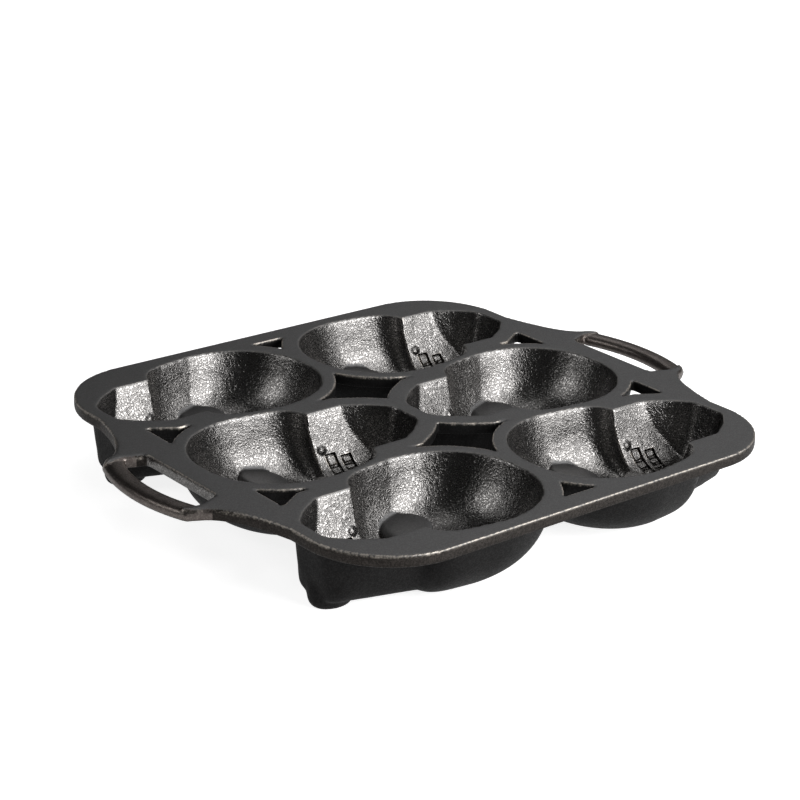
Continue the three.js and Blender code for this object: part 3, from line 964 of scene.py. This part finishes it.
# the cups' temple and jaw arrises take a painted highlight, as bright as worn iron
markWearAndGlint(skullCup, cup["glintAndWearBox"])
for piece in pieces.values():
    paint(piece, deckFinish)
    markWearAndGlint(piece, deck["glintAndWearBox"], deckTree)
for node, place in cupPlaces.items():
    pieces[node] = copied(skullCup, node.replace("_", "") + "Iron", place)
for tool in (sixHollows, skullHollow, faceHollow, cupOutside, collar, skullCup):
    bpy.data.objects.remove(tool, do_unlink=True)
triangles = {}
for node, piece in pieces.items():
    pick(piece)
    bpy.ops.object.shade_smooth_by_angle(angle=math.radians(40))
    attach(piece, "root")
    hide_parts(node)
    triangles[node] = sum(len(polygon.vertices) - 2 for polygon in piece.data.polygons)
print("triangles:", triangles)

# Camera from the photograph's fitted view, with lengths in millimetres and the focal length in pixels
view = {
    "azimuth": -40.009,
    "elevation": 21.502,
    "roll": 1.86,
    "distance": 1099.295,
    "shiftX": 5.69,
    "shiftY": -4.941,
    "focal": 2242.14,
    "pixels": 800,
    "sensor": 36,
}
azimuth, elevation, roll = (math.radians(view[key]) for key in ("azimuth", "elevation", "roll"))
level = math.cos(elevation)
back = Vector((math.sin(azimuth) * level, -math.cos(azimuth) * level, math.sin(elevation)))
levelRight = Vector((math.cos(azimuth), math.sin(azimuth), 0))
levelUp = back.cross(levelRight)
right = math.cos(roll) * levelRight + math.sin(roll) * levelUp
up = -math.sin(roll) * levelRight + math.cos(roll) * levelUp
spot = (back * view["distance"] - right * view["shiftX"] - up * view["shiftY"]) * mm + Vector((0, 0, deckTop))
cameraData = bpy.data.cameras.new("camera")
cameraData.sensor_width = view["sensor"]
cameraData.lens = view["focal"] / view["pixels"] * cameraData.sensor_width
camera = bpy.data.objects.new("camera", cameraData)
camera.matrix_world = Matrix(((*right, 0), (*up, 0), (*back, 0), (0, 0, 0, 1))).transposed()
camera.location = spot
bpy.context.scene.collection.objects.link(camera)
bpy.context.scene.camera = camera

# Floor and world: white as seen directly or through glass, and as dim in the iron as the photograph's surround
studio = {
    "floorSize": 8,
    "floorDrop": 0.0002,
    "floorColour": "#dcdcdc",
    "floorRoughness": 0.9,
    "floorWhite": 0.85,
    "floorReflected": 0.3,
    "white": 1,
    "reflected": 0.02,
    "ambient": 0.05,
}


def seenLevel(material, white, reflected, ambient):
    seen = addNode(material, "ShaderNodeLightPath").outputs
    rays = {0: seen["Is Camera Ray"], 1: seen["Is Transmission Ray"]}
    direct = addNode(material, "ShaderNodeMath", {"operation": "MAXIMUM"}, rays).outputs[0]
    levels = {"To Min": ambient, "To Max": reflected}
    inIron = addNode(material, "ShaderNodeMapRange", levels, {"Value": seen["Is Glossy Ray"]}).outputs["Result"]
    sources = {"Value": direct, "To Min": inIron}
    return addNode(material, "ShaderNodeMapRange", {"To Max": white}, sources).outputs["Result"]


clearSelection()
bpy.ops.mesh.primitive_plane_add(size=studio["floorSize"], location=(0, 0, -studio["floorDrop"]))
floor = bpy.context.object
floor.name = "floor"
# White paper, smooth and matt
floorPaint = bpy.data.materials.new("white paper floor")
floorPaint.use_nodes = True
paper = floorPaint.node_tree.nodes["Principled BSDF"]
paper.inputs["Base Color"].default_value = linear(studio["floorColour"])
paper.inputs["Roughness"].default_value = studio["floorRoughness"]
paper.inputs["Emission Color"].default_value = (1, 1, 1, 1)
floor.data.materials.append(floorPaint)
floorGlow = seenLevel(floorPaint, studio["floorWhite"], studio["floorReflected"], 0)
floorPaint.node_tree.links.new(floorGlow, paper.inputs["Emission Strength"])
world = bpy.data.worlds.new("studio")
bpy.context.scene.world = world
world.use_nodes = True
sky = world.node_tree.nodes["Background"]
skyGlow = seenLevel(world, studio["white"], studio["reflected"], studio["ambient"])
world.node_tree.links.new(skyGlow, sky.inputs["Strength"])
sky.inputs["Color"].default_value = (1, 1, 1, 1)

# Each soft box: its compass direction and height as seen from the pan, distance, size and brightness
softBoxes = {
    "mainBox": {"azimuth": -68, "elevation": 19, "distance": 1.6, "size": (1.2, 1.2), "glow": 7},
    "highBox": {"azimuth": -48, "elevation": 52, "distance": 1.8, "size": (0.9, 0.7), "glow": 3},
    "leftBox": {"azimuth": 158, "elevation": 34, "distance": 1.8, "size": (0.8, 0.9), "glow": 2.4},
    "rearBox": {"azimuth": 30, "elevation": 45, "distance": 2.2, "size": (1.8, 1.2), "glow": 1.2},
    "topBox": {"azimuth": 0, "elevation": 88, "distance": 1.8, "size": (0.8, 0.8), "glow": 1},
}
for name, box in softBoxes.items():
    lamp = bpy.data.lights.new(name, "AREA")
    lamp.shape = "RECTANGLE"
    lamp.size, lamp.size_y = box["size"]
    lamp.energy = box["glow"] * math.pi * lamp.size * lamp.size_y
    azimuth, elevation = math.radians(box["azimuth"]), math.radians(box["elevation"])
    level = math.cos(elevation)
    direction = Vector((math.cos(azimuth) * level, math.sin(azimuth) * level, math.sin(elevation)))
    holder = bpy.data.objects.new(name, lamp)
    holder.location = direction * box["distance"]
    holder.rotation_euler = direction.to_track_quat("Z", "Y").to_euler()
    bpy.context.scene.collection.objects.link(holder)
print("camera, floor and soft boxes placed")

bpy.context.scene.view_settings.view_transform = "Standard"
